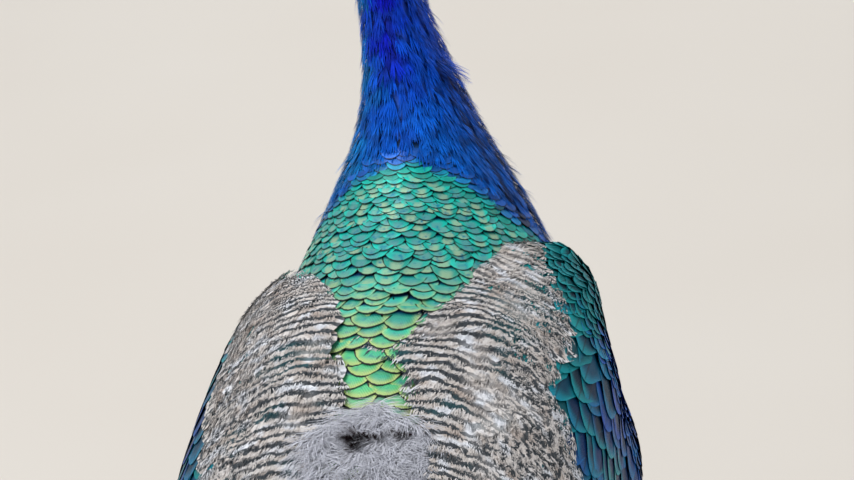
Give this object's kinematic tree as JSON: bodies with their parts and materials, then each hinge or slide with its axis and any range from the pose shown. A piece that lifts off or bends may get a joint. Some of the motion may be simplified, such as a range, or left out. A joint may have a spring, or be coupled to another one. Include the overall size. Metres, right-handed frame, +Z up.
{
  "type": "adult male indian peafowl, standing",
  "caption": "Life-size standing peacock with upright neck, folded wings and a long folded train that comes down to the floor behind.",
  "frame": {"origin": "on the floor, below the middle of the bird's overall footprint", "axes": "+Z up, -Y the way the bird faces, so +Y runs along the train, +X to the bird's left"},
  "size_m": [0.2964, 1.6606, 0.9228],
  "materials": {
    "blue_plumage": "brilliant blue barbs with a silky metallic gloss, cyan where they turn from the light",
    "back_scales": "blue-green scale feathers with bronze centres, turquoise rims and a thin black fringe",
    "barred_wing": "greyish cream scapulars and coverts with wavy slate bars",
    "rufous_primaries": "matt rufous flight feathers with dark shafts",
    "train": "bronze-green loose barbs with metallic eyespots",
    "tail": "stiff matt grey-brown tail feathers",
    "buff_down": "soft buff thigh feathers",
    "crest": "bare pale shafts with blue-green fan tips",
    "bill": "satin grey horn, paler at the edges",
    "leg_scales": "grey-brown horny scutes over dull skin",
    "claw": "dark polished horn",
    "eye": "wet dark brown iris and black pupil"
  },
  "bodies": {
    "root": {"head": "blue_plumage", "eye_left": "eye", "eye_right": "eye", "bill_upper": "bill", "bill_lower": "bill", "crest": "crest", "neck_upper": "blue_plumage", "neck_lower": "blue_plumage", "trunk": "back_scales", "wing_left": "barred_wing", "wing_right": "barred_wing", "primaries_left": "rufous_primaries", "primaries_right": "rufous_primaries", "thigh_left": "buff_down", "thigh_right": "buff_down", "train_root": "train", "train_middle": "train", "train_end": "train", "tail": "tail", "shank_left": "leg_scales", "spur_left": "claw", "toe_left_middle": "leg_scales", "claw_left_middle": "claw", "toe_left_inner": "leg_scales", "claw_left_inner": "claw", "toe_left_outer": "leg_scales", "claw_left_outer": "claw", "toe_left_hind": "leg_scales", "claw_left_hind": "claw", "shank_right": "leg_scales", "spur_right": "claw", "toe_right_middle": "leg_scales", "claw_right_middle": "claw", "toe_right_inner": "leg_scales", "claw_right_inner": "claw", "toe_right_outer": "leg_scales", "claw_right_outer": "claw", "toe_right_hind": "leg_scales", "claw_right_hind": "claw"}
  },
  "joints": []
}
